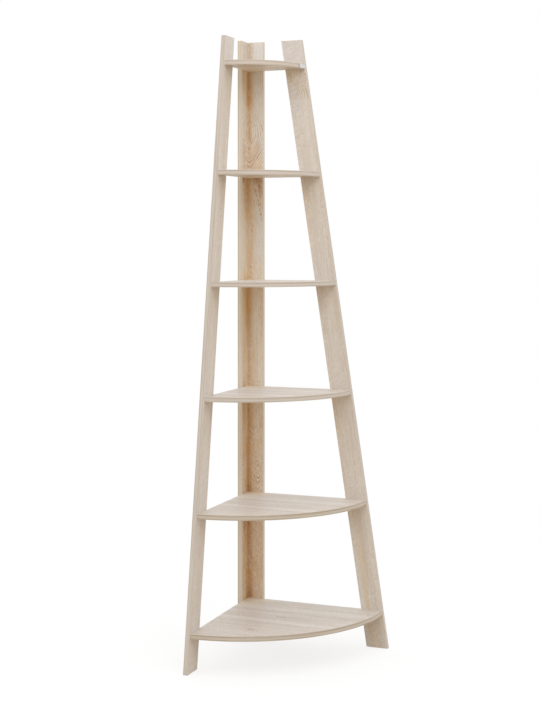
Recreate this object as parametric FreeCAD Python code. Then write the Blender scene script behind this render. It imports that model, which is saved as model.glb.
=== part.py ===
import FreeCAD, Part
import math
import os

os.makedirs("parts", exist_ok=True)

# A corner tower shelving unit: six quarter-round shelves between two leaning side boards
# and an upright corner post made of two boards in an L.
# It is modelled with the two room walls meeting on the Z axis: the left wall is the plane
# x = 0, the back wall is the plane y = 0, and the unit stands at positive x and negative y.
# Each finished node is then moved so that the origin is the centre of the bounding box's base.
# All lengths are in millimetres.

# Whole unit
height = 2000.0
board_thickness = 16.0
floor_reach = 507.0
top_reach = 207.0
side_board_width = 71.0
post_width = 70.0
foot_corner_radius = 4.0

# Shelves
shelf_count = 6
lowest_shelf_height = 123.0
rise_above_top_shelf = 82.0

# Edging strips, glued over the raw board edges
edging_thickness = 1.0
edging_arris_share = 0.7

# Pale plate on the end of the top shelf's front edge
plate_length = 40.0
plate_height = 12.5
plate_thickness = 1.2

# Furniture screws with a flat countersunk head and a hexagonal socket
screw_head_diameter = 10.0
screw_head_land = 1.0
screw_diameter = 7.0
screw_root_diameter = 5.0
screw_tip_length = 3.0
thread_pitch = 3.0
socket_width = 4.0
socket_depth = 2.8
side_screw_length = 50.0
joint_screw_length = 50.0
post_screw_margin = 20.0
post_screw_gap = 10.0

# Fluted wooden dowels
dowel_diameter = 8.0
dowel_length = 30.0
dowel_board_depth = 10.0
dowel_chamfer = 1.0
dowel_flute_count = 12
dowel_flute_radius = 0.5
screw_to_dowel = 32.0

# Room left between fasteners and their bores, and how far a cutter runs past its face
bore_clearance = 0.05
bore_end_gap = 1.0
cut_overrun = 2.0

# Values worked out from the sizes above
lean = (floor_reach - top_reach) / height
lean_angle = math.atan(lean)
side_board_level_width = side_board_width / math.cos(lean_angle)
edging_level_width = edging_thickness / math.cos(lean_angle)
edging_arris_radius = edging_thickness * edging_arris_share
under_top_edging = height - edging_thickness
shelf_pitch = (height - rise_above_top_shelf - lowest_shelf_height) / (shelf_count - 1)
shelf_tops = [lowest_shelf_height + shelf_pitch * level for level in range(shelf_count)]
shelf_middles = [top - board_thickness / 2 for top in shelf_tops]
bay_middles = [(low + high) / 2 for low, high in zip(shelf_middles, shelf_middles[1:])]
post_screw_place = post_width - post_screw_margin
post_screw_length = post_screw_place - post_screw_gap

along_x = FreeCAD.Vector(1, 0, 0)
along_y = FreeCAD.Vector(0, 1, 0)
upward = FreeCAD.Vector(0, 0, 1)
wall_corner = FreeCAD.Vector(0, 0, 0)
mirror_normal = FreeCAD.Vector(1, 1, 0)
lean_run = FreeCAD.Vector(0, floor_reach - top_reach, height)
front_inward = FreeCAD.Vector(0, height, top_reach - floor_reach).normalize()
base_centre = FreeCAD.Vector(floor_reach / 2, -floor_reach / 2, 0)


def reach_at(level):
    """Distance of a side board's front edge from the wall corner at a given height."""
    return floor_reach - lean * level


def save(name, shapes):
    """Move a node's solids into the part's frame and write them to one STEP file."""
    solids = [solid for shape in shapes for solid in shape.Solids]
    node = solids[0].copy() if len(solids) == 1 else Part.makeCompound(solids)
    node.translate(-base_centre)
    node.exportStep("parts/" + name + ".step")
    print(name, len(solids), "solids", round(node.Volume), "mm3", "valid", node.isValid())


def to_right(shapes):
    """The right-hand side of the unit is the left-hand side mirrored across the corner."""
    return [shape.mirror(wall_corner, mirror_normal) for shape in shapes]


def bored(board, cutters):
    """A board with every fastener's bore taken out of it."""
    return board.cut(Part.makeCompound(cutters))


def prism(corners, direction):
    """Solid made by pushing the flat outline through the corners along a direction."""
    return Part.Face(Part.makePolygon(corners + corners[:1])).extrude(direction)


# Edging

def edging_section(outer_start, inward, across):
    """Section of an edging strip: two outer corners rounded, flat back on the board."""
    def at(depth, side):
        return outer_start + inward * depth + across * side

    radius = edging_arris_radius
    far = board_thickness
    bow = radius * (1 - math.cos(math.radians(45)))
    first_arc = Part.Arc(at(radius, 0), at(bow, bow), at(0, radius))
    second_arc = Part.Arc(at(0, far - radius), at(bow, far - bow), at(radius, far))
    edges = [
        Part.LineSegment(at(edging_thickness, 0), at(radius, 0)).toShape(),
        first_arc.toShape(),
        Part.LineSegment(at(0, radius), at(0, far - radius)).toShape(),
        second_arc.toShape(),
        Part.LineSegment(at(radius, far), at(edging_thickness, far)).toShape(),
        Part.LineSegment(at(edging_thickness, far), at(edging_thickness, 0)).toShape(),
    ]
    return Part.Face(Part.Wire(edges))


def edging_strip(outer_start, inward, across, run):
    """Straight edging strip along a run, its outer face passing through its start."""
    return edging_section(outer_start, inward, across).extrude(run)


# Fasteners, made lying on +X with the head in the plane x = 0

def turned(points):
    """Solid turned round the X axis from (x, radius) points, first and last on the axis."""
    corners = [FreeCAD.Vector(place, radius, 0) for place, radius in points]
    outline = Part.Face(Part.makePolygon(corners + corners[:1]))
    return outline.revolve(wall_corner, along_x, 360)


def screw(length):
    """One furniture screw; its ridges stand for the coarse thread."""
    head = screw_head_diameter / 2
    neck = screw_diameter / 2
    root = screw_root_diameter / 2
    cone_end = screw_head_land + head - neck
    points = [(0, 0), (0, head), (screw_head_land, head), (cone_end, neck), (board_thickness, neck)]
    ridges = int((length - screw_tip_length - board_thickness) / thread_pitch)
    for ridge in range(ridges):
        start = board_thickness + ridge * thread_pitch
        points.append((start, root))
        points.append((start + thread_pitch / 2, neck))
    points.append((board_thickness + ridges * thread_pitch, root))
    points.append((length - screw_tip_length, root))
    points.append((length, 0))
    return turned(points).cut(socket())


def socket():
    """Hexagonal socket in a screw's head."""
    corner_radius = socket_width / 2 / math.cos(math.radians(30))
    turns = [math.radians(60 * corner) for corner in range(6)]
    corners = [
        FreeCAD.Vector(0, corner_radius * math.cos(turn), corner_radius * math.sin(turn)) for turn in turns
    ]
    return prism(corners, along_x * socket_depth)


def screw_bore(length):
    """Cutter for a screw: countersink, clear hole and a little room past the tip."""
    head = screw_head_diameter / 2 + bore_clearance
    neck = screw_diameter / 2 + bore_clearance
    cone_end = screw_head_land + head - neck
    points = [
        (-cut_overrun, 0),
        (-cut_overrun, head),
        (screw_head_land, head),
        (cone_end, neck),
        (length + bore_end_gap, neck),
        (length + bore_end_gap, 0),
    ]
    return turned(points)


def dowel():
    """One fluted dowel, its first part in the side board and the rest in the shelf."""
    radius = dowel_diameter / 2
    start = board_thickness - dowel_board_depth
    end = start + dowel_length
    points = [
        (start, 0),
        (start, radius - dowel_chamfer),
        (start + dowel_chamfer, radius),
        (end - dowel_chamfer, radius),
        (end, radius - dowel_chamfer),
        (end, 0),
    ]
    flute_start = FreeCAD.Vector(start, radius, 0)
    flutes = []
    for number in range(dowel_flute_count):
        flute = Part.makeCylinder(dowel_flute_radius, dowel_length, flute_start, along_x)
        flute.rotate(wall_corner, along_x, 360 / dowel_flute_count * number)
        flutes.append(flute)
    return turned(points).cut(Part.makeCompound(flutes))


def dowel_bore():
    """Cutter for a dowel: a little wider and longer than the dowel itself."""
    radius = dowel_diameter / 2 + bore_clearance
    start = board_thickness - dowel_board_depth - bore_end_gap
    length = dowel_length + 2 * bore_end_gap
    return Part.makeCylinder(radius, length, along_x * start, along_x)


def placed(shape, points):
    """A copy of a shape at every point."""
    copies = []
    for point in points:
        copy = shape.copy()
        copy.translate(point)
        copies.append(copy)
    return copies


# Places of the fasteners on the left-hand side, in the plane of the left wall

def side_points(offset):
    """A point on each shelf's middle line, offset forward from the side board's middle."""
    return [
        FreeCAD.Vector(0, side_board_level_width / 2 - reach_at(middle) - offset, middle)
        for middle in shelf_middles
    ]


side_screw_points = side_points(-screw_to_dowel / 2)
side_dowel_points = side_points(screw_to_dowel / 2)
post_screw_points = [FreeCAD.Vector(0, -post_screw_place, middle) for middle in shelf_middles]

side_screws = placed(screw(side_screw_length), side_screw_points)
side_screw_bores = placed(screw_bore(side_screw_length), side_screw_points)
side_dowels = placed(dowel(), side_dowel_points)
side_dowel_bores = placed(dowel_bore(), side_dowel_points)
post_screws = placed(screw(post_screw_length), post_screw_points)
post_screw_bores = placed(screw_bore(post_screw_length), post_screw_points)


def from_back_wall(shape):
    """Turn a fastener that lies on +X so that it runs from the back wall towards -Y."""
    forward = shape.copy()
    forward.rotate(wall_corner, upward, -90)
    return forward


joint_points = [FreeCAD.Vector(board_thickness / 2, 0, middle) for middle in bay_middles]
joint_screws = placed(from_back_wall(screw(joint_screw_length)), joint_points)
joint_screw_bores = placed(from_back_wall(screw_bore(joint_screw_length)), joint_points)


# Side boards

def leaning_solid(front_inset, rear_inset, top):
    """Leaning board between the floor and a height, set in from its front and rear edges."""
    def corner(level, back_from_front):
        return FreeCAD.Vector(0, back_from_front - reach_at(level), level)

    rear = side_board_level_width - rear_inset
    corners = [corner(0, front_inset), corner(top, front_inset), corner(top, rear), corner(0, rear)]
    return prism(corners, along_x * board_thickness)


def side_blank():
    """Full outline of a side board with its edging, its rear foot corner rounded."""
    blank = leaning_solid(0, 0, height)
    foot = FreeCAD.Vector(board_thickness / 2, side_board_level_width - floor_reach, 0)
    foot_edge = min(blank.Edges, key=lambda edge: edge.CenterOfMass.distanceToPoint(foot))
    return blank.makeFillet(foot_corner_radius, [foot_edge])


def side_board():
    """Left side board: the board itself, without its edging."""
    body = leaning_solid(edging_level_width, edging_level_width, under_top_edging)
    return bored(body.common(side_blank()), side_screw_bores + side_dowel_bores)


def side_edging():
    """Front, rear and top edging strips of the left side board."""
    blank = side_blank()
    below_top = blank.common(leaning_solid(0, 0, under_top_edging))
    overrun_share = cut_overrun / height
    long_run = lean_run * (1 + 2 * overrun_share)
    front_start = FreeCAD.Vector(0, -floor_reach, 0) - lean_run * overrun_share
    rear_start = front_start + along_y * side_board_level_width
    front = edging_strip(front_start, front_inward, along_x, long_run).common(below_top)
    rear = edging_strip(rear_start, -front_inward, along_x, long_run).common(below_top)
    top_start = FreeCAD.Vector(0, -top_reach - cut_overrun, height)
    top_run = along_y * (side_board_level_width + 2 * cut_overrun)
    top = edging_strip(top_start, -upward, along_x, top_run).common(blank)
    return [front, rear, top]


# Corner post

def left_post_board():
    """Post board on the left wall, butted against the back of the other post board."""
    width = post_width - edging_thickness - board_thickness
    start = FreeCAD.Vector(0, edging_thickness - post_width, 0)
    body = Part.makeBox(board_thickness, width, under_top_edging, start)
    return bored(body, post_screw_bores + joint_screw_bores)


def right_post_board():
    """Post board on the back wall, which covers the corner."""
    width = post_width - edging_thickness
    start = FreeCAD.Vector(0, -board_thickness, 0)
    body = Part.makeBox(width, board_thickness, under_top_edging, start)
    return bored(body, to_right(post_screw_bores) + joint_screw_bores)


def left_post_edging():
    """Front and top edging strips of the left post board."""
    front_start = FreeCAD.Vector(0, -post_width, 0)
    top_start = FreeCAD.Vector(0, -post_width, height)
    front = edging_strip(front_start, along_y, along_x, upward * under_top_edging)
    top = edging_strip(top_start, -upward, along_x, along_y * (post_width - board_thickness))
    return [front, top]


def right_post_edging():
    """Side and top edging strips of the right post board."""
    side_start = FreeCAD.Vector(post_width, -board_thickness, 0)
    top_start = FreeCAD.Vector(0, -board_thickness, height)
    side = edging_strip(side_start, -along_x, along_y, upward * under_top_edging)
    top = edging_strip(top_start, -upward, along_y, along_x * post_width)
    return [side, top]


# Shelves

def front_radius(top):
    """Radius of a shelf's round front, centred where the two walls meet."""
    return math.hypot(reach_at(top), board_thickness)


def between_boards(solid, top):
    """The part of a shelf solid that lies inside the inner faces of the boards."""
    inner_corner = FreeCAD.Vector(board_thickness, -board_thickness - floor_reach, top - board_thickness)
    room = Part.makeBox(floor_reach, floor_reach, board_thickness, inner_corner)
    return solid.common(room)


def shelf(top):
    """One quarter-round shelf without its edging, bored for its screws and dowels."""
    base = FreeCAD.Vector(0, 0, top - board_thickness)
    disc = Part.makeCylinder(front_radius(top) - edging_thickness, board_thickness, base, upward)
    left_bores = side_screw_bores + side_dowel_bores + post_screw_bores
    return bored(between_boards(disc, top), left_bores + to_right(left_bores))


def shelf_front_edging(top):
    """Curved edging strip on a shelf's round front, from one side board to the other."""
    outer_start = FreeCAD.Vector(front_radius(top), 0, top - board_thickness)
    ring = edging_section(outer_start, -along_x, upward).revolve(wall_corner, upward, -90)
    return between_boards(ring, top)


def edge_plate(top):
    """Thin curved plate on the right-hand end of the top shelf's front edge."""
    radius = front_radius(top)
    base = FreeCAD.Vector(0, 0, top - (board_thickness + plate_height) / 2)
    sweep = math.degrees(math.asin(board_thickness / radius) + plate_length / radius)
    outer = Part.makeCylinder(radius + plate_thickness, plate_height, base, upward, sweep)
    ring = outer.cut(Part.makeCylinder(radius, plate_height, base, upward))
    ring.rotate(wall_corner, upward, -sweep)
    return between_boards(ring, top)


for number, top in enumerate(shelf_tops, start=1):
    save("shelf_" + str(number), [shelf(top)])
    save("shelf_" + str(number) + "_front_edging", [shelf_front_edging(top)])

save("left_side_board", [side_board()])
save("right_side_board", to_right([side_board()]))
save("left_side_edging", side_edging())
save("right_side_edging", to_right(side_edging()))

save("left_post_board", [left_post_board()])
save("right_post_board", [right_post_board()])
save("left_post_edging", left_post_edging())
save("right_post_edging", right_post_edging())

save("left_side_screws", side_screws)
save("right_side_screws", to_right(side_screws))
save("left_side_dowels", side_dowels)
save("right_side_dowels", to_right(side_dowels))
save("left_post_screws", post_screws)
save("right_post_screws", to_right(post_screws))
save("post_joint_screws", joint_screws)

save("top_shelf_edge_plate", [edge_plate(shelf_tops[-1])])
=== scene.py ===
import math

import bmesh
import bpy
from mathutils import Matrix, Vector


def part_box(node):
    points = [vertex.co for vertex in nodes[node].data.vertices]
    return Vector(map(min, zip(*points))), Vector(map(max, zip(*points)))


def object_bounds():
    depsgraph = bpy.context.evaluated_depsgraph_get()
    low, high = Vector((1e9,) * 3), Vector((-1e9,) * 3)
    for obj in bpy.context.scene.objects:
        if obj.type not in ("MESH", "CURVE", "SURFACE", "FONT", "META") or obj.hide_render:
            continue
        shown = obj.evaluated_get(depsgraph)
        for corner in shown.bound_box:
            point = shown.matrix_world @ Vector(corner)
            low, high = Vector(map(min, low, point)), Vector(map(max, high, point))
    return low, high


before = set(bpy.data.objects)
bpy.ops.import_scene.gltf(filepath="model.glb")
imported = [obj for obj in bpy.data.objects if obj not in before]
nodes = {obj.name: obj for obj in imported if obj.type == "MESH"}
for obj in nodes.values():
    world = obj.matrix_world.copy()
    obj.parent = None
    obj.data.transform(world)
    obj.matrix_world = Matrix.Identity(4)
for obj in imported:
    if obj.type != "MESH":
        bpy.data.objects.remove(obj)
cad_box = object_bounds()

# A corner tower shelving unit in pale sawn-oak melamine: the left wall is the plane at the
# lowest X, the back wall the plane at the highest Y, and the round shelf fronts face +X and -Y.

MM = 0.001
ALONG_X = Vector((1, 0, 0))
ALONG_Y = Vector((0, 1, 0))
UPWARD = Vector((0, 0, 1))


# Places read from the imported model

LEVEL_SLACK = 2 * MM


def front_reach(level):
    """Lowest Y of the left side board's edging at a height, which is its front edge."""
    edging = nodes["left_side_edging"].data
    return min(vertex.co.y for vertex in edging.vertices if abs(vertex.co.z - level) < LEVEL_SLACK)


unit_low, unit_high = cad_box
height = unit_high.z
wall_corner = Vector((unit_low.x, unit_high.y, 0))
post_low, post_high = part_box("left_post_board")
thickness = post_high.x - post_low.x
under_top_edging = post_high.z
shelf_count = sum(name.startswith("shelf_") and name.endswith("_edging") for name in nodes)
lean = (front_reach(height) - front_reach(0)) / height
left_rise = Vector((0, lean, 1)).normalized()
right_rise = Vector((-lean, 0, 1)).normalized()


# Camera, dipped a little, with its frame shifted down to take in the feet

CAMERA_PLACE = (1.5265, -4.0859, 1.3296)
CAMERA_TURN = 21.289
CAMERA_DIP = 0.5
CAMERA_LENS = 69
CAMERA_SENSOR = 36
CAMERA_SHIFT = -0.1482


def set_camera():
    """The camera at the photograph's viewing angle."""
    data = bpy.data.cameras.new("camera")
    data.lens = CAMERA_LENS
    data.sensor_width = CAMERA_SENSOR
    data.shift_y = CAMERA_SHIFT
    camera = bpy.data.objects.new("camera", data)
    camera.location = CAMERA_PLACE
    camera.rotation_euler = (math.radians(90 - CAMERA_DIP), 0, math.radians(CAMERA_TURN))
    bpy.context.scene.collection.objects.link(camera)
    bpy.context.scene.camera = camera


# Colours, written as a display shows them, from 0 to 255

def shade(red, green, blue):
    """A display colour as the linear colour that a shader takes, by the sRGB curve."""
    def linear(level):
        share = level / 255
        return share / 12.92 if share <= 0.04045 else ((share + 0.055) / 1.055) ** 2.4

    return (linear(red), linear(green), linear(blue), 1)


# Node helpers: a value that is a socket is linked, and any other is set

def feed(tree, socket, value):
    """Link a socket or set its value."""
    if isinstance(value, bpy.types.NodeSocket):
        tree.links.new(value, socket)
    else:
        socket.default_value = value


def maths(tree, operation, *values, clamp=False):
    """One Math node's result."""
    node = tree.nodes.new("ShaderNodeMath")
    node.operation = operation
    node.use_clamp = clamp
    for socket, value in zip(node.inputs, values):
        feed(tree, socket, value)
    return node.outputs[0]


def times(tree, first, *others):
    """The product of two values or more."""
    for other in others:
        first = maths(tree, "MULTIPLY", first, other)
    return first


def rest_of(tree, share):
    """What a share leaves of 1."""
    return maths(tree, "SUBTRACT", 1.0, share)


def vector_maths(tree, operation, *values):
    """One Vector Math node's result, which is a single value for a length or a dot product."""
    node = tree.nodes.new("ShaderNodeVectorMath")
    node.operation = operation
    for socket, value in zip(node.inputs, values):
        feed(tree, socket, value)
    return node.outputs["Value" if operation in ("LENGTH", "DOT_PRODUCT") else "Vector"]


def parts_of(tree, vector):
    """The three components of a vector."""
    node = tree.nodes.new("ShaderNodeSeparateXYZ")
    feed(tree, node.inputs[0], vector)
    return node.outputs


def joined(tree, *values):
    """A vector from three components."""
    node = tree.nodes.new("ShaderNodeCombineXYZ")
    for socket, value in zip(node.inputs, values):
        feed(tree, socket, value)
    return node.outputs[0]


EASING_SOCKETS = ("Value", "From Min", "From Max", "To Min", "To Max")
FALLING = (1.0, 0.0)


def eased(tree, value, low, high, start=0.0, end=1.0):
    """A value taken smoothly from low..high to start..end, and held outside it."""
    node = tree.nodes.new("ShaderNodeMapRange")
    node.interpolation_type = "SMOOTHSTEP"
    for name, setting in zip(EASING_SOCKETS, (value, low, high, start, end)):
        feed(tree, node.inputs[name], setting)
    return node.outputs["Result"]


# What a Mix node mixes, its sockets for the two of them and the socket of its result
COLOURS = ("RGBA", 6, 7, 2)
PLACES = ("VECTOR", 4, 5, 1)


def mixed(tree, share, first, second, kind=COLOURS):
    """Two colours or two places mixed by a share of the second."""
    node = tree.nodes.new("ShaderNodeMix")
    node.data_type, first_socket, second_socket, result = kind
    feed(tree, node.inputs[0], share)
    feed(tree, node.inputs[first_socket], first)
    feed(tree, node.inputs[second_socket], second)
    return node.outputs[result]


def any_of(tree, shares):
    """The largest of several shares."""
    largest = shares[0]
    for share in shares[1:]:
        largest = maths(tree, "MAXIMUM", largest, share)
    return largest


def span(tree, value, low, high, fade):
    """1 between two values, falling smoothly to 0 past each."""
    rise = eased(tree, value, low - fade, low)
    fall = eased(tree, value, high, high + fade, *FALLING)
    return times(tree, rise, fall)


# A texture is its repeats to the metre along the place's three axes, with its detail and its
# roughness where they aren't the usual ones. A cut is the two levels between which a share rises,
# with the share's start and end where they aren't 0 and 1.

def noise(tree, place, repeats, detail=2, roughness=0.5):
    """Smooth noise, from about 0.2 to 0.8."""
    node = tree.nodes.new("ShaderNodeTexNoise")
    feed(tree, node.inputs["Vector"], vector_maths(tree, "MULTIPLY", place, repeats))
    node.inputs["Scale"].default_value = 1
    node.inputs["Detail"].default_value = detail
    node.inputs["Roughness"].default_value = roughness
    return node.outputs["Fac"]


def pattern(tree, place, texture, cut):
    """A texture's noise, cut to a share."""
    return eased(tree, noise(tree, place, *texture), *cut)


def cells(tree, place, repeats, feature="F1", result="Color"):
    """One result of a Voronoi texture, with its cells to the metre along each axis."""
    node = tree.nodes.new("ShaderNodeTexVoronoi")
    node.feature = feature
    feed(tree, node.inputs["Vector"], vector_maths(tree, "MULTIPLY", place, repeats))
    node.inputs["Scale"].default_value = 1
    return node.outputs[result]


def object_place(tree):
    """The place in Object coordinates, in metres."""
    return tree.nodes.new("ShaderNodeTexCoord").outputs["Object"]


def cut_place(tree, origin, grain, across):
    """The place turned so that X runs along the grain, Y across it and Z into the board."""
    place = object_place(tree)
    mapping = tree.nodes.new("ShaderNodeMapping")
    mapping.vector_type = "TEXTURE"
    turn = Matrix((grain, across, grain.cross(across))).transposed()
    mapping.inputs["Location"].default_value = origin
    mapping.inputs["Rotation"].default_value = turn.to_euler()
    tree.links.new(place, mapping.inputs["Vector"])
    return mapping.outputs["Vector"]


def facing(tree, direction):
    """How squarely the surface faces a direction or its opposite, from 0 to 1."""
    normal = tree.nodes.new("ShaderNodeNewGeometry").outputs["Normal"]
    return maths(tree, "ABSOLUTE", vector_maths(tree, "DOT_PRODUCT", normal, direction))


def new_material(name):
    """A material with a Principled shader wired to its output."""
    material = bpy.data.materials.new(name)
    material.use_nodes = True
    tree = material.node_tree
    tree.nodes.clear()
    shader = tree.nodes.new("ShaderNodeBsdfPrincipled")
    output = tree.nodes.new("ShaderNodeOutputMaterial")
    tree.links.new(shader.outputs[0], output.inputs["Surface"])
    return material, tree, shader


def emboss(tree, shader, relief, depth):
    """Bump from a relief of 0 to 1 that stands for a depth in metres."""
    bump = tree.nodes.new("ShaderNodeBump")
    bump.inputs["Strength"].default_value = 1
    bump.inputs["Distance"].default_value = depth
    feed(tree, bump.inputs["Height"], relief)
    tree.links.new(bump.outputs[0], shader.inputs["Normal"])


def dress(material, *names):
    """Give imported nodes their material."""
    for name in names:
        nodes[name].material_slots[0].material = material


# Sawn-oak print on the boards' faces
# On every board the place's X runs along the grain, Y across the board and Z into it, in metres.

# Each set is the pale ground, the warm bands, the dark streaks and the late-wood lines
SIDE_TONES = (
    shade(221, 215, 208), shade(211, 202, 191), shade(190, 174, 156), shade(188, 172, 154),
)
SHELF_TONES = (
    shade(218, 212, 206), shade(207, 197, 187), shade(187, 170, 152), shade(185, 168, 149),
)
# The post's pale ground and warm bands are lighter than the other boards': painted light that
# offsets the shade in the unit's inner corner.
POST_TONES = (
    shade(234, 228, 218), shade(230, 218, 200), shade(198, 172, 140), shade(180, 144, 104),
)
CHALK_OAK = shade(232, 225, 216)
KNOT_BROWN = shade(150, 124, 104)
PORE_OAK = shade(150, 126, 104)

SWAY = 5 * MM
SWAYING = (2.2, 7, 7)


def swayed(tree, place, sway):
    """The same place with the grain bent sideways a little, as a tree grows."""
    shift = maths(tree, "MULTIPLY_ADD", noise(tree, place, SWAYING), 2 * sway, -sway)
    return vector_maths(tree, "ADD", place, joined(tree, 0.0, shift, 0.0))


def oval(tree, place, centre, reach):
    """An oval spot on a board, 1 at its middle and 0 from its reach outwards."""
    offset = vector_maths(tree, "SUBTRACT", place, (centre[0], centre[1], 0))
    scaled = vector_maths(tree, "MULTIPLY", offset, (1 / reach[0], 1 / reach[1], 0))
    return eased(tree, vector_maths(tree, "LENGTH", scaled), 0.0, 1.0, *FALLING)


WIDEST_SHARE = 0.4
WOBBLES = (1.5, 42, 42)
WOBBLE_REACH = 10 * MM
KNOT_SWELL = 9 * MM
KNOT_SWELL_REACH = (45 * MM, 16 * MM)
RIPPLE_REPEATS = 80
RIPPLE_DETAIL = 3
SLIGHT_SPREAD = 0.5
JAGGED = 1.5
SMOOTH = 0.7
LINE_RISE = (0.25, 0.85)
LINE_FALL = (0.88, 1.0)
FIGURE_FADE = 40 * MM


def bowed(tree, along, foot, top, swell):
    """A swell that rises soon past its foot and falls slowly to its top."""
    widest = foot + WIDEST_SHARE * (top - foot)
    rise = eased(tree, along, foot, widest)
    fall = eased(tree, along, widest, top, swell, 0.0)
    return times(tree, rise, fall)


def growth_lines(tree, place, figures, knots, ripples):
    """Late-wood lines of a board's figures, which bulge round its knots, and the wood between them.

    A figure is given by its foot and its top along the board, the place of its heart across it,
    how round its tips are, how far its lines spread from the heart in a length along the board
    (upwards, or downwards where that is negative), their spacing and how plainly they show. Where
    the spread is a length in a tuple, the lines bow out by it between the foot and the top instead.
    """
    along, across, depth = parts_of(tree, place)
    ripple = noise(tree, place, (ripples, RIPPLE_REPEATS, RIPPLE_REPEATS), RIPPLE_DETAIL)
    wobble = times(tree, noise(tree, place, WOBBLES), WOBBLE_REACH)
    for centre in knots:
        swell = oval(tree, place, centre, KNOT_SWELL_REACH)
        wobble = maths(tree, "MULTIPLY_ADD", swell, KNOT_SWELL, wobble)
    late, early = [], []
    for foot, top, heart, roundness, spread, spacing, strength in figures:
        sideways = maths(tree, "SUBTRACT", across, heart)
        below = maths(tree, "ADD", depth, roundness)
        radius = vector_maths(tree, "LENGTH", joined(tree, sideways, below, 0.0))
        if isinstance(spread, tuple):
            outward = bowed(tree, along, foot, top, *spread)
            raggedness = SMOOTH
        else:
            outward = times(tree, along, spread)
            raggedness = JAGGED if 0 < abs(spread) < SLIGHT_SPREAD else SMOOTH
        reach = maths(tree, "SUBTRACT", maths(tree, "ADD", radius, wobble), outward)
        rings = maths(tree, "DIVIDE", reach, spacing)
        phase = maths(tree, "FRACT", maths(tree, "MULTIPLY_ADD", ripple, raggedness, rings))
        rise = eased(tree, phase, *LINE_RISE)
        fall = eased(tree, phase, *LINE_FALL, *FALLING)
        line = times(tree, rise, fall)
        here = times(tree, span(tree, along, foot, top, FIGURE_FADE), strength)
        late.append(times(tree, line, here))
        early.append(times(tree, rest_of(tree, line), here))
    return any_of(tree, late), any_of(tree, early)


SLANTED_CUT = (0.48, 0.64)
SAW_MARKS = (280, 50, 50)
SAW_PATCHES = ((6, 26, 26), 2)
SAW_PATCH_CUT = (0.38, 0.62)


def slanted_marks(tree, place, slant, repeats):
    """Short marks aslant the grain."""
    mapping = tree.nodes.new("ShaderNodeMapping")
    mapping.inputs["Rotation"].default_value = (0, 0, math.radians(slant))
    feed(tree, mapping.inputs["Vector"], place)
    return pattern(tree, mapping.outputs[0], (repeats,), SLANTED_CUT)


def saw_marks(tree, place, slant):
    """Short pale marks of the saw, in patches."""
    marks = slanted_marks(tree, place, slant, SAW_MARKS)
    return times(tree, marks, pattern(tree, place, SAW_PATCHES, SAW_PATCH_CUT))


BANDS = ((1.4, 32, 32), 4, 0.6)
BAND_CUT = (0.34, 0.66)
STREAKS = ((7, 310, 310), 4, 0.7)
STREAK_CUT = (0.46, 0.74)
STREAK_SHARE = 0.55
FIBRES = (45, 1100, 1100)
FIBRE_CUT = (0.5, 0.75, 0.0, 0.35)
LINE_BREAK_REPEATS = 60
LINE_BREAK_CUT = (0.4, 0.62, 0.25, 1.0)
HIDING_TINTS = 2
HIDING_SHARE = 0.9
CALM_SHARE = 0.6
CALM_FADE = 50 * MM
FLECKS = (80, 240, 240)
FLECK_CUT = (0.48, 0.7)
SCRIBBLE = ((170, 420, 420), 3)
SCRIBBLE_CUT = (0.42, 0.62)
KNOT_REACH = (34 * MM, 12 * MM)
KNOT_SHARE = 0.9
PORES = ((70, 1300, 1300), 1)
PORE_CUT = (0.6, 0.7)
PORE_SHARE = 0.3
SMOOTHEST = 0.4
STREAK_ROUGHNESS = 0.16
PORE_ROUGHNESS = 0.18
FIBRE_DEPTH = 0.4
SAW_DEPTH = 0.3


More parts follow.
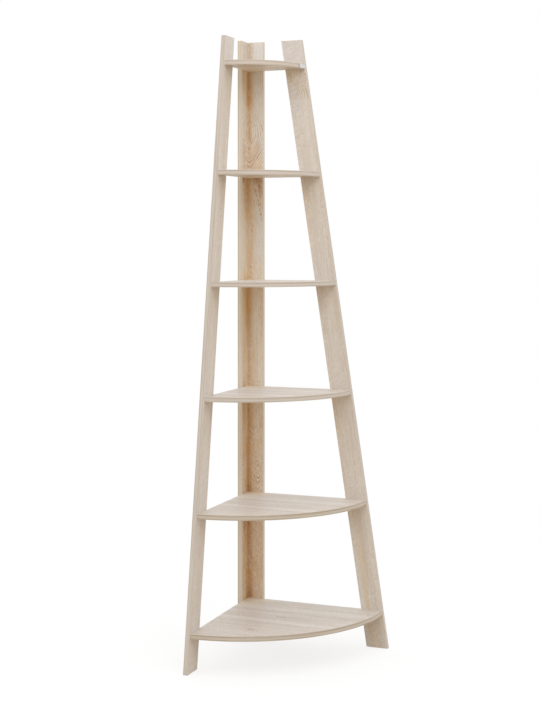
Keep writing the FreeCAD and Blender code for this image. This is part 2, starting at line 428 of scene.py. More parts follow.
def oak_print(tree, place, tones, tints, figures, lines, knots=(), contrast=1.0, flecked=0.25,
              ripples=14, slant=20, sawn=0.35, chalky=0.0, calm=()):
    """Colour, roughness and relief of the sawn-oak print at a place on a board.

    Its lines, flecked, sawn and chalky say how plainly those marks show. A tint is a share and the
    colour that it mixes in, and the last HIDING_TINTS of them also hide the figures. Between each
    foot and top in calm, the lines and the flecks are fainter.
    """
    pale, warm, dark, line = tones
    place = swayed(tree, place, SWAY)
    marked = 1.0
    if calm:
        along = parts_of(tree, place)[0]
        quiet = any_of(tree, [span(tree, along, foot, top, CALM_FADE) for foot, top in calm])
        marked = maths(tree, "MULTIPLY_ADD", quiet, -CALM_SHARE, 1.0)
    streaks = noise(tree, place, *STREAKS)
    streaked = eased(tree, streaks, *STREAK_CUT, 0.0, STREAK_SHARE * contrast)
    fibres = noise(tree, place, FIBRES)
    colour = mixed(tree, pattern(tree, place, BANDS, BAND_CUT), pale, warm)
    colour = mixed(tree, streaked, colour, dark)
    for share, tint in tints:
        colour = mixed(tree, share, colour, tint)

    late, early = growth_lines(tree, place, figures, knots, ripples)
    breaks = ((ripples, LINE_BREAK_REPEATS, LINE_BREAK_REPEATS),)
    covered = any_of(tree, [share for share, tint in tints[-HIDING_TINTS:]])
    bare = maths(tree, "MULTIPLY_ADD", covered, -HIDING_SHARE, 1.0, clamp=True)
    shown = times(tree, pattern(tree, place, breaks, LINE_BREAK_CUT), bare, marked)
    colour = mixed(tree, times(tree, late, shown, lines), colour, line)
    colour = mixed(tree, times(tree, early, shown, chalky), colour, CHALK_OAK)

    saw = saw_marks(tree, place, slant)
    colour = mixed(tree, times(tree, saw, sawn), colour, CHALK_OAK)
    flecks = eased(tree, noise(tree, place, FLECKS), *FLECK_CUT, 0.0, flecked)
    colour = mixed(tree, times(tree, flecks, marked), colour, line)
    for centre in knots:
        scribble = pattern(tree, place, SCRIBBLE, SCRIBBLE_CUT)
        knot = times(tree, oval(tree, place, centre, KNOT_REACH), scribble, KNOT_SHARE)
        colour = mixed(tree, knot, colour, KNOT_BROWN)
    pores = pattern(tree, place, PORES, PORE_CUT)
    colour = mixed(tree, times(tree, pores, PORE_SHARE), colour, PORE_OAK)
    colour = mixed(tree, eased(tree, fibres, *FIBRE_CUT), colour, dark)

    roughness = maths(tree, "MULTIPLY_ADD", streaks, STREAK_ROUGHNESS, SMOOTHEST)
    roughness = maths(tree, "MULTIPLY_ADD", pores, PORE_ROUGHNESS, roughness)
    hollows = maths(tree, "MULTIPLY_ADD", fibres, FIBRE_DEPTH, pores)
    hollows = maths(tree, "MULTIPLY_ADD", saw, SAW_DEPTH, hollows)
    return colour, roughness, rest_of(tree, hollows)


# Raw chipboard on the boards' unbanded edges

CHIP_PALE = shade(214, 190, 152)
CHIP_MID = shade(186, 154, 112)
CHIP_DARK = shade(134, 102, 70)
CHIPS = (170, 170, 620)
DUST = (620, 620, 1500)
CORE_SHARES = (0.2, 0.4)
DARK_CHIP_CUT = (0.7, 1.0, 0.0, 0.8)
GAP_WIDTH = 0.1
GAP_SHARE = 0.7


def chipboard(tree, place):
    """Colour and relief of sawn chipboard: coarse flakes in the core, fine dust by the faces."""
    depth = maths(tree, "ABSOLUTE", parts_of(tree, place)[2])
    core = eased(tree, depth, *[share * thickness for share in CORE_SHARES], *FALLING)
    flakes = mixed(tree, core, cells(tree, place, DUST), cells(tree, place, CHIPS))
    tone, darkness, rise = parts_of(tree, flakes)
    colour = mixed(tree, tone, CHIP_MID, CHIP_PALE)
    colour = mixed(tree, eased(tree, darkness, *DARK_CHIP_CUT), colour, CHIP_DARK)
    nearness = cells(tree, place, CHIPS, "DISTANCE_TO_EDGE", "Distance")
    gaps = times(tree, eased(tree, nearness, 0.0, GAP_WIDTH, *FALLING), core)
    colour = mixed(tree, times(tree, gaps, GAP_SHARE), colour, CHIP_DARK)
    return colour, maths(tree, "SUBTRACT", rise, gaps)


BOARD_RELIEF = 0.06 * MM
CHIP_RELIEF = 0.25 * MM
CHIP_ROUGHNESS = 0.85
RAW_CUT = (0.5, 0.8)


def oak_board(name, cut, tones, tinted, **figure):
    """A melamine-faced board: print on its two faces, raw chipboard on its other sides.

    Its cut is the origin of its place, the way along its grain and the way across it.
    """
    origin, grain, across = cut
    material, tree, shader = new_material(name)
    place = cut_place(tree, origin, grain, across)
    colour, roughness, relief = oak_print(tree, place, tones, tinted(tree, place), **figure)
    chip_colour, chip_relief = chipboard(tree, place)
    raw = eased(tree, facing(tree, grain.cross(across)), *RAW_CUT, *FALLING)
    feed(tree, shader.inputs["Base Color"], mixed(tree, raw, colour, chip_colour))
    feed(tree, shader.inputs["Roughness"], eased(tree, raw, 0.0, 1.0, roughness, CHIP_ROUGHNESS))
    chip_heights = times(tree, chip_relief, CHIP_RELIEF / BOARD_RELIEF)
    emboss(tree, shader, eased(tree, raw, 0.0, 1.0, relief, chip_heights), BOARD_RELIEF)
    dress(material, name)


# Edging strips

# Each pair is the pale ground and the dark lines
EDGE_TONES = (shade(209, 202, 195), shade(170, 157, 140))
POST_EDGE_TONES = (shade(219, 211, 199), shade(194, 178, 156))
# The lowest shelves' strips are darker: painted shade for the dimmer light near the floor.
LOW_EDGE_SHADED_TONES = (shade(204, 195, 184), shade(158, 141, 118))
TOP_EDGE_TONES = (shade(203, 195, 186), shade(178, 165, 149))
LOW_EDGE_SHARE = 0.3
TOP_EDGE_SHARE = 0.9
EDGE_CORE = shade(216, 206, 192)
EDGE_SWAY = 1.5 * MM
EDGE_LINES = (-0.36, 0.28)
EDGE_LINE_REACH = 2 * MM
EDGE_LINE_BREAKS = (5, 160, 160)
EDGE_BREAK_CUT = (0.3, 0.6)
EDGE_LINE_SHARES = (0.3, 0.9)
EDGE_STREAKS = ((2.5, 420, 420), 4, 0.65)
EDGE_STREAK_CUT = (0.44, 0.7, 0.0, 0.6)
EDGE_FIBRES = (25, 1500, 1500)
EDGE_FIBRE_CUT = (0.5, 0.75, 0.0, 0.3)
EDGE_SIDE_CUT = (0.1, 0.5)
EDGE_SMOOTHEST = 0.36
EDGE_FIBRE_ROUGHNESS = 0.2
EDGE_RELIEF = 0.04 * MM


def edging_look(tree, shader, place, outward, tones, plainness=1.0):
    """Fine lengthwise lines on the strip's outer face and the plain strip on its sides."""
    across = parts_of(tree, swayed(tree, place, EDGE_SWAY))[1]
    away = [maths(tree, "SUBTRACT", across, share * thickness) for share in EDGE_LINES]
    away = [maths(tree, "ABSOLUTE", gap) for gap in away]
    near = [eased(tree, gap, 0.0, EDGE_LINE_REACH, *FALLING) for gap in away]
    shares = [share * plainness for share in EDGE_LINE_SHARES]
    broken = eased(tree, noise(tree, place, EDGE_LINE_BREAKS), *EDGE_BREAK_CUT, *shares)
    fibres = noise(tree, place, EDGE_FIBRES)
    pale, dark = tones
    colour = mixed(tree, pattern(tree, place, EDGE_STREAKS, EDGE_STREAK_CUT), pale, dark)
    colour = mixed(tree, times(tree, any_of(tree, near), broken), colour, dark)
    colour = mixed(tree, eased(tree, fibres, *EDGE_FIBRE_CUT), colour, dark)
    side = eased(tree, outward, *EDGE_SIDE_CUT, *FALLING)
    roughness = maths(tree, "MULTIPLY_ADD", fibres, EDGE_FIBRE_ROUGHNESS, EDGE_SMOOTHEST)
    feed(tree, shader.inputs["Base Color"], mixed(tree, side, colour, EDGE_CORE))
    feed(tree, shader.inputs["Roughness"], roughness)
    emboss(tree, shader, rest_of(tree, fibres), EDGE_RELIEF)


def straight_edging(name, origin, grain, outward, top_grain, tones, plainness):
    """Edging along a board's long edge, with its short top strip turned to run level."""
    material, tree, shader = new_material(name)
    upright = cut_place(tree, origin, grain, grain.cross(outward))
    level = cut_place(tree, origin, top_grain, top_grain.cross(UPWARD))
    on_top = maths(tree, "GREATER_THAN", parts_of(tree, object_place(tree))[2], under_top_edging)
    place = mixed(tree, on_top, upright, level, PLACES)
    topward = times(tree, on_top, facing(tree, UPWARD))
    outer = maths(tree, "MAXIMUM", facing(tree, outward), topward)
    edging_look(tree, shader, place, outer, tones, plainness)
    dress(material, name)


def round_edging(name):
    """Edging bent round a shelf's front: its lines follow the arc about the walls' corner."""
    material, tree, shader = new_material(name)
    low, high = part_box(name)
    radius = high.x - wall_corner.x
    middle = Vector((wall_corner.x, wall_corner.y, (low.z + high.z) / 2))
    x, y, z = parts_of(tree, cut_place(tree, middle, ALONG_X, ALONG_Y))
    arc = times(tree, maths(tree, "ARCTAN2", y, x), radius)
    out = joined(tree, x, y, 0.0)
    depth = maths(tree, "SUBTRACT", vector_maths(tree, "LENGTH", out), radius)
    outward = facing(tree, vector_maths(tree, "NORMALIZE", out))
    tones = EDGE_TONES
    # Painted shade: the lowest shelves' strips take darker tones.
    if high.z < LOW_EDGE_SHARE * height:
        tones = LOW_EDGE_SHADED_TONES
    elif high.z > TOP_EDGE_SHARE * height:
        tones = TOP_EDGE_TONES
    edging_look(tree, shader, joined(tree, arc, z, depth), outward, tones)
    dress(material, name)


# Fasteners and the small plate

ZINC_TONES = (shade(196, 199, 202), shade(178, 176, 168))
ZINC_CLOUDS = ((300, 300, 300), 3)
ZINC_CUT = (0.35, 0.65)
ZINC_ROUGHNESS_CUT = (0.3, 0.7, 0.28, 0.46)
BEECH_TONES = (shade(214, 180, 134), shade(184, 142, 98))
BEECH_FLECKS = ((500, 500, 500), 3)
BEECH_CUT = (0.4, 0.7)
BEECH_ROUGHNESS = 0.7
PLATE_TONES = (shade(212, 212, 216), shade(222, 222, 226))
PLATE_GRAINS = (1800, 1800, 1800)
PLATE_ROUGHNESS_CUT = (0.3, 0.7, 0.45, 0.6)
PLATE_RELIEF = 0.03 * MM
PLATE_END_SHADOW = shade(150, 134, 120)
PLATE_END_REACH = (1.5 * MM, 2.5 * MM)
PLATE_END_SHARE = 0.8


def zinc_plate(names):
    """Zinc-plated steel, satin, with faint cloudy tints."""
    material, tree, shader = new_material("zinc_plate")
    clouds = noise(tree, object_place(tree), *ZINC_CLOUDS)
    colour = mixed(tree, eased(tree, clouds, *ZINC_CUT), *ZINC_TONES)
    feed(tree, shader.inputs["Base Color"], colour)
    shader.inputs["Metallic"].default_value = 1
    feed(tree, shader.inputs["Roughness"], eased(tree, clouds, *ZINC_ROUGHNESS_CUT))
    dress(material, *names)


def beech(names):
    """Plain beech with fine darker flecks."""
    material, tree, shader = new_material("beech")
    flecks = pattern(tree, object_place(tree), BEECH_FLECKS, BEECH_CUT)
    feed(tree, shader.inputs["Base Color"], mixed(tree, flecks, *BEECH_TONES))
    shader.inputs["Roughness"].default_value = BEECH_ROUGHNESS
    dress(material, *names)


def pale_plate(name):
    """Matt pale grey plastic with a fine even texture and a painted shadow line down its left end.
    """
    material, tree, shader = new_material("pale_plate")
    place = object_place(tree)
    grains = noise(tree, place, PLATE_GRAINS)
    colour = mixed(tree, grains, *PLATE_TONES)
    left_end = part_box(name)[0].x
    edges = [left_end + reach for reach in PLATE_END_REACH]
    # Painted shadow: a dark line down the plate's left end.
    end_shadow = eased(tree, parts_of(tree, place)[0], *edges, PLATE_END_SHARE, 0.0)
    colour = mixed(tree, end_shadow, colour, PLATE_END_SHADOW)
    feed(tree, shader.inputs["Base Color"], colour)
    feed(tree, shader.inputs["Roughness"], eased(tree, grains, *PLATE_ROUGHNESS_CUT))
    emboss(tree, shader, grains, PLATE_RELIEF)
    dress(material, name)


# Stage and light

FLOOR_SPAN = 400
FLOOR_BOUNCE = (0.65, 0.53, 0.38, 1)
WHITE = (1, 1, 1, 1)
SHADOW_SHARE = 0.8
SHADOW_REACH = (0.7, 3.0)
LAMP_AIM = (-0.05, 0.05, 1.0)
LAMP_SIZE = 1.5
FRONT_LAMP_PLACE = (1.2, -1.8, 3.2)
FRONT_LAMP_WATTS = 14
TOP_LAMP_PLACE = (0.3, -0.3, 3.2)
TOP_LAMP_WATTS = 6


def set_floor():
    """A plain floor, white as seen, that keeps the object's shadow and bounces warm light."""
    mesh = bpy.data.meshes.new("floor")
    shape = bmesh.new()
    bmesh.ops.create_grid(shape, x_segments=1, y_segments=1, size=FLOOR_SPAN / 2)
    shape.to_mesh(mesh)
    shape.free()
    floor = bpy.data.objects.new("floor", mesh)
    bpy.context.scene.collection.objects.link(floor)
    material, tree, shader = new_material("floor")
    shader.inputs["Base Color"].default_value = FLOOR_BOUNCE
    shader.inputs["Roughness"].default_value = 1
    shader.inputs["Specular IOR Level"].default_value = 0
    mesh.materials.append(material)
    paint = tree.nodes.new("ShaderNodeBsdfDiffuse")
    paint.inputs["Color"].default_value = WHITE
    glow = tree.nodes.new("ShaderNodeEmission")
    distance = vector_maths(tree, "LENGTH", object_place(tree))
    seen = tree.nodes.new("ShaderNodeMixShader")
    feed(tree, seen.inputs[0], eased(tree, distance, *SHADOW_REACH, SHADOW_SHARE, 1.0))
    feed(tree, seen.inputs[1], paint.outputs[0])
    feed(tree, seen.inputs[2], glow.outputs[0])
    path = tree.nodes.new("ShaderNodeLightPath").outputs
    rays = [path[f"Is {kind} Ray"] for kind in ("Camera", "Glossy", "Transmission")]
    choice = tree.nodes.new("ShaderNodeMixShader")
    feed(tree, choice.inputs[0], any_of(tree, rays))
    feed(tree, choice.inputs[1], shader.outputs[0])
    feed(tree, choice.inputs[2], seen.outputs[0])
    output = next(node for node in tree.nodes if node.type == "OUTPUT_MATERIAL")
    tree.links.new(choice.outputs[0], output.inputs["Surface"])


def set_world():
    """Even white light from all round, and a white background."""
    world = bpy.data.worlds.new("world")
    world.use_nodes = True
    background = world.node_tree.nodes["Background"]
    background.inputs["Color"].default_value = WHITE
    background.inputs["Strength"].default_value = 1
    bpy.context.scene.world = world


def set_lamp(name, place, watts):
    """A large soft lamp aimed at the unit's middle."""
    data = bpy.data.lights.new(name, "AREA")
    data.shape = "DISK"
    data.size = LAMP_SIZE
    data.energy = watts
    lamp = bpy.data.objects.new(name, data)
    lamp.location = place
    lamp.rotation_euler = (Vector(LAMP_AIM) - Vector(place)).to_track_quat("-Z", "Y").to_euler()
    bpy.context.scene.collection.objects.link(lamp)


# Shelves

CORNER_PAINTED_LIGHT = shade(244, 231, 212)
PALE_ROW = shade(234, 229, 224)
TAN_ROW = shade(194, 173, 146)
SHELF_SWAY = 8 * MM
CORNER_CENTRE = (35 * MM, 35 * MM)
CORNER_REACH = (110 * MM, 120 * MM)
CORNER_SHARE = 0.95
ROW_BREAKS = ((2.5, 60, 60), 3)
ROW_BREAK_CUT = (0.35, 0.6, 0.2, 1.0)
PALE_ROWS = (112 * MM, 262 * MM)
TAN_ROWS = (60 * MM, 81 * MM, 158 * MM, 204 * MM, 280 * MM, 330 * MM, 360 * MM, 377 * MM)
# The half width of the rows, their fade and their share
PALE_ROW_LOOK = (12 * MM, 16 * MM, 0.4)
TAN_ROW_LOOK = (2 * MM, 9 * MM, 0.3)
SHELF_FIGURES = ((-1, 1, 207 * MM, 15 * MM, 0, 4 * MM, 0.3),)
LOWEST_SHELF_KNOTS = ((215 * MM, 207 * MM), (169 * MM, 377 * MM))


def rows_share(tree, across, rows, half, fade, share, broken):
    """How much of the rows' colour shows at a place across a shelf."""
    here = any_of(tree, [span(tree, across, row - half, row + half, fade) for row in rows])
    return times(tree, broken, share, here)


def shelf_tints(tree, place):
    """A paler corner on every shelf, which is painted light offsetting the shade by the post, and
    the pale and dark rows that all of them share.
    """
    across = parts_of(tree, swayed(tree, place, SHELF_SWAY))[1]
    # Painted light: every shelf is paler round the post's corner, where shade falls.
    corner = times(tree, oval(tree, place, CORNER_CENTRE, CORNER_REACH), CORNER_SHARE)
    broken = pattern(tree, place, ROW_BREAKS, ROW_BREAK_CUT)
    pale = rows_share(tree, across, PALE_ROWS, *PALE_ROW_LOOK, broken)
    tan = rows_share(tree, across, TAN_ROWS, *TAN_ROW_LOOK, broken)
    return [(corner, CORNER_PAINTED_LIGHT), (pale, PALE_ROW), (tan, TAN_ROW)]


for number in range(1, shelf_count + 1):
    name = f"shelf_{number}"
    low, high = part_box(name)
    middle = Vector((wall_corner.x, wall_corner.y, (low.z + high.z) / 2))
    knots = LOWEST_SHELF_KNOTS if number == 1 else ()
    shelf_cut = (middle, ALONG_X, -ALONG_Y)
    figure = {"figures": SHELF_FIGURES, "lines": 0.6, "knots": knots}
    oak_board(name, shelf_cut, SHELF_TONES, shelf_tints, **figure)
    round_edging(f"{name}_front_edging")


# Side boards
# A span is given by its two ends and its fade. Places along a board are measured up its lean.

TOP_BEIGE = shade(206, 200, 197)
FOOT_PAINTED_LIGHT = shade(232, 226, 219)
GREY_OAK = shade(207, 204, 204)
BOUNCE_LIGHT_OAK = shade(238, 226, 206)
HEART_OCHRE = shade(220, 183, 127)
LEFT_TOP_CUT = (1.92, 1.97, 0.0, 0.7)
LEFT_FOOT_LIGHT_CUT = (0.09, 0.12, 0.7, 0.0)
RIGHT_SWAY = 8 * MM
RIGHT_BREAKS = ((9, 160, 160), 3)
RIGHT_BREAK_CUT = (0.34, 0.6, 0.2, 1.0)
FOOT_STREAK_ACROSS = (40 * MM, 47 * MM, 9 * MM)
FOOT_STREAK_CUT = (0.3, 0.5, 0.4, 0.0)
EDGE_STREAK_ACROSS = (50 * MM, 70 * MM)
EDGE_STREAK_SPANS = ((0.55, 0.85, 0.15), (1.37, 1.52, 0.06))
EDGE_STREAK_SHARE = 0.35
GREYED_ACROSS = (20 * MM, 36 * MM)
GREYED_SPAN = (1.78, 1.86, 0.06)
GREYED_SHARE = 0.6
BOUNCE_LIGHT_ACROSS = (24 * MM, 40 * MM)
BOUNCE_LIGHT_SPAN = (1.9, 1.93, 0.02)
BOUNCE_LIGHT_SHARE = 0.5
RIGHT_TOP_CUT = (1.92, 1.96, 0.0, 0.9)
FACE_STEP = 1 * MM
SIDE_EDGE_PLAINNESS = 0.55


def left_side_tints(tree, place):
    """A beige top, and a paler foot that is painted light against the shade under the lowest shelf.
    """
    along = parts_of(tree, place)[0]
    top = eased(tree, along, *LEFT_TOP_CUT)
    # Painted light: the board is paler below the lowest shelf, in that shelf's shade.
    foot = eased(tree, along, *LEFT_FOOT_LIGHT_CUT)
    return [(top, TOP_BEIGE), (foot, FOOT_PAINTED_LIGHT)]


def right_side_tints(tree, place):
    """A beige top, a grey stretch and a warm patch of painted light below it, and ochre streaks
    lower down.

    The painted light stands for light bounced under the top shelf and is on the inner face only,
    and one streak rises from the foot while the others keep to the inner edge.
    """
    along, across, depth = parts_of(tree, swayed(tree, place, RIGHT_SWAY))
    broken = pattern(tree, place, RIGHT_BREAKS, RIGHT_BREAK_CUT)
    foot_streak = span(tree, across, *FOOT_STREAK_ACROSS)
    foot_streak = times(tree, foot_streak, eased(tree, along, *FOOT_STREAK_CUT))
    stretches = any_of(tree, [span(tree, along, *stretch) for stretch in EDGE_STREAK_SPANS])
    edge_streak = eased(tree, across, *EDGE_STREAK_ACROSS)
    edge_streak = times(tree, edge_streak, stretches, EDGE_STREAK_SHARE)
    streaked = times(tree, any_of(tree, [foot_streak, edge_streak]), broken)
    greyed = eased(tree, across, *GREYED_ACROSS)
    greyed = times(tree, greyed, span(tree, along, *GREYED_SPAN), GREYED_SHARE)
    # Painted light: a lighter warm patch on the inner face just under the top shelf.
    inner_face = eased(tree, depth, -FACE_STEP, FACE_STEP, 0.0, BOUNCE_LIGHT_SHARE)
    bounce_light = eased(tree, across, *BOUNCE_LIGHT_ACROSS)
    bounce_light = times(tree, bounce_light, span(tree, along, *BOUNCE_LIGHT_SPAN), inner_face)
    top = eased(tree, along, *RIGHT_TOP_CUT)
    return [(greyed, GREY_OAK), (bounce_light, BOUNCE_LIGHT_OAK), (streaked, HEART_OCHRE), (top, TOP_BEIGE)]


left_figure = {
    "figures": ((0, 2, 40 * MM, 15 * MM, 0, 4 * MM, 0.3),),
    "lines": 0.5,
    "contrast": 0.7,
    "sawn": 0.45,
}
right_figure = {
    "figures": (
        (0, 0.9, 30 * MM, 15 * MM, 0, 4 * MM, 0.3),
        (0.94, 1.7, 10 * MM, 15 * MM, 0, 4 * MM, 0.3),
        (1.85, 2.01, -3 * MM, 9 * MM, (29 * MM,), 5.5 * MM, 2.0),
    ),
    "lines": 0.6,
    "slant": -20,
    "sawn": 0.5,
}
left_low, left_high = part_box("left_side_board")
right_low, right_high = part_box("right_side_board")
left_foot = Vector(((left_low.x + left_high.x) / 2, left_low.y, 0))
right_foot = Vector((right_high.x, (right_low.y + right_high.y) / 2, 0))
left_cut = (left_foot, left_rise, left_rise.cross(ALONG_X))
right_cut = (right_foot, right_rise, right_rise.cross(ALONG_Y))
oak_board("left_side_board", left_cut, SIDE_TONES, left_side_tints, **left_figure)
oak_board("right_side_board", right_cut, SIDE_TONES, right_side_tints, **right_figure)
side_edge = (EDGE_TONES, SIDE_EDGE_PLAINNESS)
straight_edging("left_side_edging", left_foot, left_rise, -ALONG_Y, ALONG_Y, *side_edge)
straight_edging("right_side_edging", right_foot, right_rise, ALONG_X, ALONG_X, *side_edge)


# Corner post

HEART_BROWN = shade(200, 148, 88)
STAIN_AND_SHADE_BROWN = shade(158, 104, 72)
TOP_GREY = shade(196, 186, 176)
COOL_OAK = shade(222, 220, 217)
WARM_CHALK = shade(238, 224, 202)
PALE_BY_CORNER = shade(246, 236, 218)

# The heartwood lies round the post's inner corner, in runs up it. Each run is given by its foot,
# its top, its middle across the corner (on the left board where negative), its reach each way and
# its share.
OCHRE_RUNS = (
    (0.0, 1.15, -12 * MM, 44 * MM, 0.5),
    (1.1, 1.86, -6 * MM, 36 * MM, 0.25),
    (0.1, 0.24, -10 * MM, 66 * MM, 0.95),
    (0.24, 0.46, -24 * MM, 40 * MM, 0.95),
    (0.46, 0.64, -8 * MM, 64 * MM, 1.0),
    (0.6, 0.8, -46 * MM, 28 * MM, 0.8),
    (0.64, 0.8, 2 * MM, 32 * MM, 0.9),
    (0.84, 0.94, 12 * MM, 26 * MM, 0.45),
    (0.9, 1.1, -28 * MM, 40 * MM, 0.5),
    (1.1, 1.2, -14 * MM, 50 * MM, 0.95),
    (1.22, 1.4, 8 * MM, 30 * MM, 0.5),
    (1.42, 1.54, -12 * MM, 44 * MM, 0.85),
    (1.54, 1.63, 22 * MM, 36 * MM, 0.5),
    (1.63, 1.8, 7 * MM, 15 * MM, 0.45),
    (1.8, 1.89, -2 * MM, 36 * MM, 0.75),
    (1.84, 1.9, -40 * MM, 30 * MM, 0.6),
)
BROWN_RUNS = (
    (0.1, 0.22, 0, 28 * MM, 0.8),
    (0.22, 0.44, 2 * MM, 22 * MM, 1.0),
    (0.46, 0.62, -4 * MM, 28 * MM, 0.85),
    (0.64, 0.8, 3 * MM, 15 * MM, 0.6),
    (0.74, 0.84, -36 * MM, 22 * MM, 0.5),
    (0.86, 1.02, 4 * MM, 12 * MM, 0.35),
    (1.06, 1.18, -10 * MM, 24 * MM, 0.65),
    (1.24, 1.36, 12 * MM, 9 * MM, 0.4),
    (1.47, 1.55, -14 * MM, 24 * MM, 0.7),
    (1.62, 1.8, 5 * MM, 7 * MM, 0.5),
    (1.8, 1.9, 5 * MM, 20 * MM, 0.85),
    (1.92, 2.1, 6 * MM, 7 * MM, 0.4),
)
# The pale runs make the left board lighter by the corner at these heights.
PALE_RUNS = (
    (0.68, 0.76, -10 * MM, 16 * MM, 0.25),
    (0.86, 0.95, -10 * MM, 16 * MM, 0.4),
    (1.17, 1.22, -10 * MM, 16 * MM, 0.5),
    (1.58, 1.64, -10 * MM, 16 * MM, 0.9),
)
RUN_FADE = 50 * MM
RUN_CORE_SHARE = 0.1

# The post's figures as on its right board. On the left one their hearts lie the other way.
POST_FIGURES = (
    (1.57, 1.86, 7 * MM, 12 * MM, (48 * MM,), 8 * MM, 0.7),
    (1.55, 1.64, 7 * MM, 20 * MM, 0.6, 9 * MM, 1.0),
    (1.24, 1.5, 6 * MM, 4 * MM, -0.2, 7 * MM, 0.5),
    (0.88, 1.14, 6 * MM, 4 * MM, -0.19, 7 * MM, 0.5),
    (0.66, 0.79, 7 * MM, 4 * MM, -0.3, 7 * MM, 0.6),
    (0.49, 0.6, 34 * MM, 3 * MM, 0.45, 8.5 * MM, 1.0),
    (0.14, 0.42, 2 * MM, 3 * MM, -0.8, 9 * MM, 0.5),
)

# Each spot is given by its centre and its reach, both along the board and across it. On each
# board the two by the corner at 0.13 and 0.49 along are painted shade round the two lowest
# shelves, and the others are stain spots. The right board's last ones are small and lie in a
# slanted row.
LEFT_STAINS_AND_SHADE = (
    ((1.535, 38 * MM), (0.02, 0.02)),
    ((0.37, 30 * MM), (0.035, 0.018)),
    ((0.335, 20 * MM), (0.02, 0.01)),
    # Painted shade in the post's corner round the two lowest shelves
    ((0.13, 4 * MM), (0.06, 0.02)),
    ((0.49, 4 * MM), (0.03, 0.01)),
)
RIGHT_STAINS_AND_SHADE = (
    ((1.54, 33 * MM), (0.034, 0.02)),
    ((1.515, 43 * MM), (0.05, 0.014)),
    ((1.542, 26 * MM), (0.01, 0.008)),
    # Painted shade in the post's corner round the two lowest shelves
    ((0.13, 2 * MM), (0.05, 0.014)),
    ((0.49, 2 * MM), (0.04, 0.012)),
    *(((1.5 - 0.016 * step, (28 + 3.6 * step) * MM), (0.011, 0.004)) for step in range(7)),
)
STAIN_AND_SHADE_SHARE = 0.9

POST_SWAY = 7 * MM
WANDERING = (4.6, 0, 0)
WANDER_REACH = 10 * MM
OUTER_FACE_LESS = 0.7
TONGUES = ((4, 130, 130), 3)
TONGUE_REACH = 0.12
BLEACHED_CUT = (1.89, 1.915, 0.0, 0.8)
HEART_BREAKS = ((5, 110, 110), 4, 0.65)
HEART_BREAK_CUT = (0.36, 0.6, 0.5, 1.0)
NEEDLES = ((16, 220, 220), 3, 0.6)
NEEDLE_CUT = (0.4, 0.6, 0.5, 1.0)
COOL_AROUND_CUT = (12 * MM, 24 * MM, 0.0, 0.8)
COOL_FROM = (1.22, 1.3)
STILL_WARM = (1.47, 1.58)
HATCH_SLANT = -40
HATCH_MARKS = (290, 85, 85)
HATCHED_BELOW = (0.4, 0.5)
HATCH_SHARES = {1: 1.0, -1: 0.5}
HATCH_MARK_SHARE = 0.75
HATCH_GAP_SHARE = 0.22
LEFT_GLOW_CUT = (1.1, 1.3, 0.42, 0.0)
RIGHT_GLOW_CUT = (0.6, 1.25, 0.3, 0.0)
POST_SLANT = 35
POST_EDGE_PLAINNESS = 1.2


def run_share(tree, along, around, runs):
    """How much of a heartwood colour shows at a place up the post and round its corner."""
    shares = []
    for foot, top, middle, reach, share in runs:
        away = maths(tree, "ABSOLUTE", maths(tree, "SUBTRACT", around, middle))
        near = eased(tree, away, RUN_CORE_SHARE * reach, reach, share, 0.0)
        shares.append(times(tree, near, span(tree, along, foot, top, RUN_FADE)))
    return any_of(tree, shares)


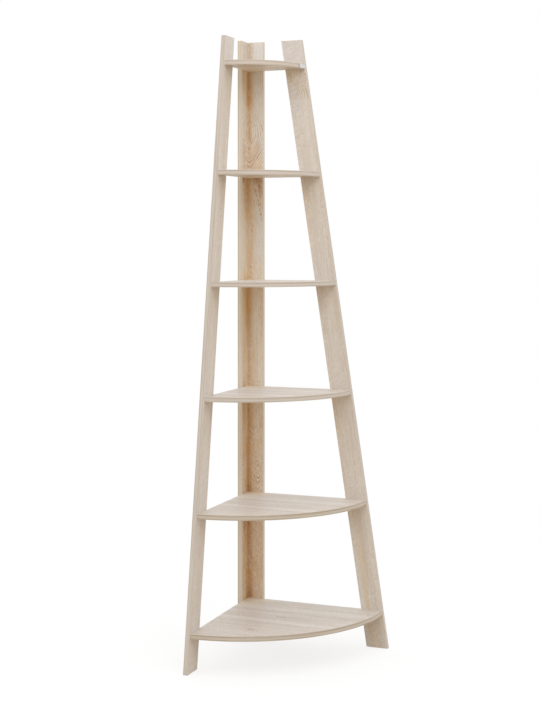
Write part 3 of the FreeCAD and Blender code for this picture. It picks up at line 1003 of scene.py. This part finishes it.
def post_tints(side, glow, stains_and_shade):
    """Heartwood round the post's inner corner, ochre with brown needles, its stain spots, and
    painted shade in the corner round the two lowest shelves.

    It wanders from one board to the other: the side is 1 on the right board and -1 on the left
    one. The glow is the cut of a plain ochre tint up the whole board.
    """
    def tints(tree, place):
        along, across, depth = parts_of(tree, swayed(tree, place, POST_SWAY))
        wander = noise(tree, joined(tree, along, 0.0, 0.0), WANDERING)
        wander = maths(tree, "MULTIPLY_ADD", wander, 2 * WANDER_REACH, -WANDER_REACH)
        around = maths(tree, "MULTIPLY_ADD", across, side, wander)
        outer = eased(tree, times(tree, depth, side), -FACE_STEP, FACE_STEP)
        inner = maths(tree, "MULTIPLY_ADD", outer, -OUTER_FACE_LESS, 1.0)
        tongues = noise(tree, place, *TONGUES)
        tongues = maths(tree, "MULTIPLY_ADD", tongues, 2 * TONGUE_REACH, -TONGUE_REACH)
        raised = maths(tree, "MULTIPLY_ADD", tongues, outer, along)
        bleached = eased(tree, raised, *BLEACHED_CUT)

        broken = pattern(tree, place, HEART_BREAKS, HEART_BREAK_CUT)
        needles = pattern(tree, place, NEEDLES, NEEDLE_CUT)
        plain = times(tree, eased(tree, along, *glow), broken, inner)
        ochre = times(tree, run_share(tree, along, around, OCHRE_RUNS), broken, inner)
        brown = times(tree, run_share(tree, along, around, BROWN_RUNS), needles, inner)
        paler = times(tree, run_share(tree, along, around, PALE_RUNS), needles)
        spots = any_of(tree, [oval(tree, place, centre, reach) for centre, reach in stains_and_shade])
        spots = times(tree, needles, STAIN_AND_SHADE_SHARE, spots, inner)

        warm = span(tree, along, *STILL_WARM, RUN_FADE)
        cool = maths(tree, "SUBTRACT", eased(tree, along, *COOL_FROM), warm, clamp=True)
        cooled = times(tree, eased(tree, around, *COOL_AROUND_CUT), cool)
        low = times(tree, eased(tree, along, *HATCHED_BELOW, *FALLING), HATCH_SHARES[side])
        hatch = slanted_marks(tree, place, HATCH_SLANT * side, HATCH_MARKS)
        marks = times(tree, hatch, low, HATCH_MARK_SHARE)
        gaps = times(tree, rest_of(tree, hatch), low, HATCH_GAP_SHARE)
        return [
            (bleached, TOP_GREY),
            (cooled, COOL_OAK),
            (plain, HEART_OCHRE),
            (ochre, HEART_OCHRE),
            (paler, PALE_BY_CORNER),
            (gaps, HEART_BROWN),
            (marks, WARM_CHALK),
            (brown, HEART_BROWN),
            (spots, STAIN_AND_SHADE_BROWN),
        ]

    return tints


def post_figure(side):
    """The print's settings on a post board, whose figures run on round the inner corner."""
    return {
        "figures": [(foot, top, side * heart, *shape) for foot, top, heart, *shape in POST_FIGURES],
        "lines": 1.0,
        "flecked": 0.32,
        "ripples": 36,
        "slant": -side * POST_SLANT,
        "sawn": 0.5,
        "chalky": 0.35,
        "calm": ((0.9, 1.42), (1.78, 2.1)),
    }


post_corner = wall_corner + (ALONG_X - ALONG_Y) * thickness
left_post_middle = post_corner - ALONG_X * thickness / 2
right_post_middle = post_corner + ALONG_Y * thickness / 2
left_post_cut = (left_post_middle, UPWARD, -ALONG_Y)
right_post_cut = (right_post_middle, UPWARD, ALONG_X)
left_post_tints = post_tints(-1, LEFT_GLOW_CUT, LEFT_STAINS_AND_SHADE)
right_post_tints = post_tints(1, RIGHT_GLOW_CUT, RIGHT_STAINS_AND_SHADE)
oak_board("left_post_board", left_post_cut, POST_TONES, left_post_tints, **post_figure(-1))
oak_board("right_post_board", right_post_cut, POST_TONES, right_post_tints, **post_figure(1))
post_edge = (POST_EDGE_TONES, POST_EDGE_PLAINNESS)
straight_edging("left_post_edging", left_post_middle, UPWARD, -ALONG_Y, ALONG_Y, *post_edge)
straight_edging("right_post_edging", right_post_middle, UPWARD, ALONG_X, ALONG_X, *post_edge)


# Small pieces, stage and light

zinc_plate([name for name in nodes if name.endswith("_screws")])
beech([name for name in nodes if name.endswith("_dowels")])
pale_plate("top_shelf_edge_plate")

set_camera()
set_floor()
set_world()
set_lamp("front_lamp", FRONT_LAMP_PLACE, FRONT_LAMP_WATTS)
set_lamp("top_lamp", TOP_LAMP_PLACE, TOP_LAMP_WATTS)
bpy.context.scene.view_settings.view_transform = "Standard"
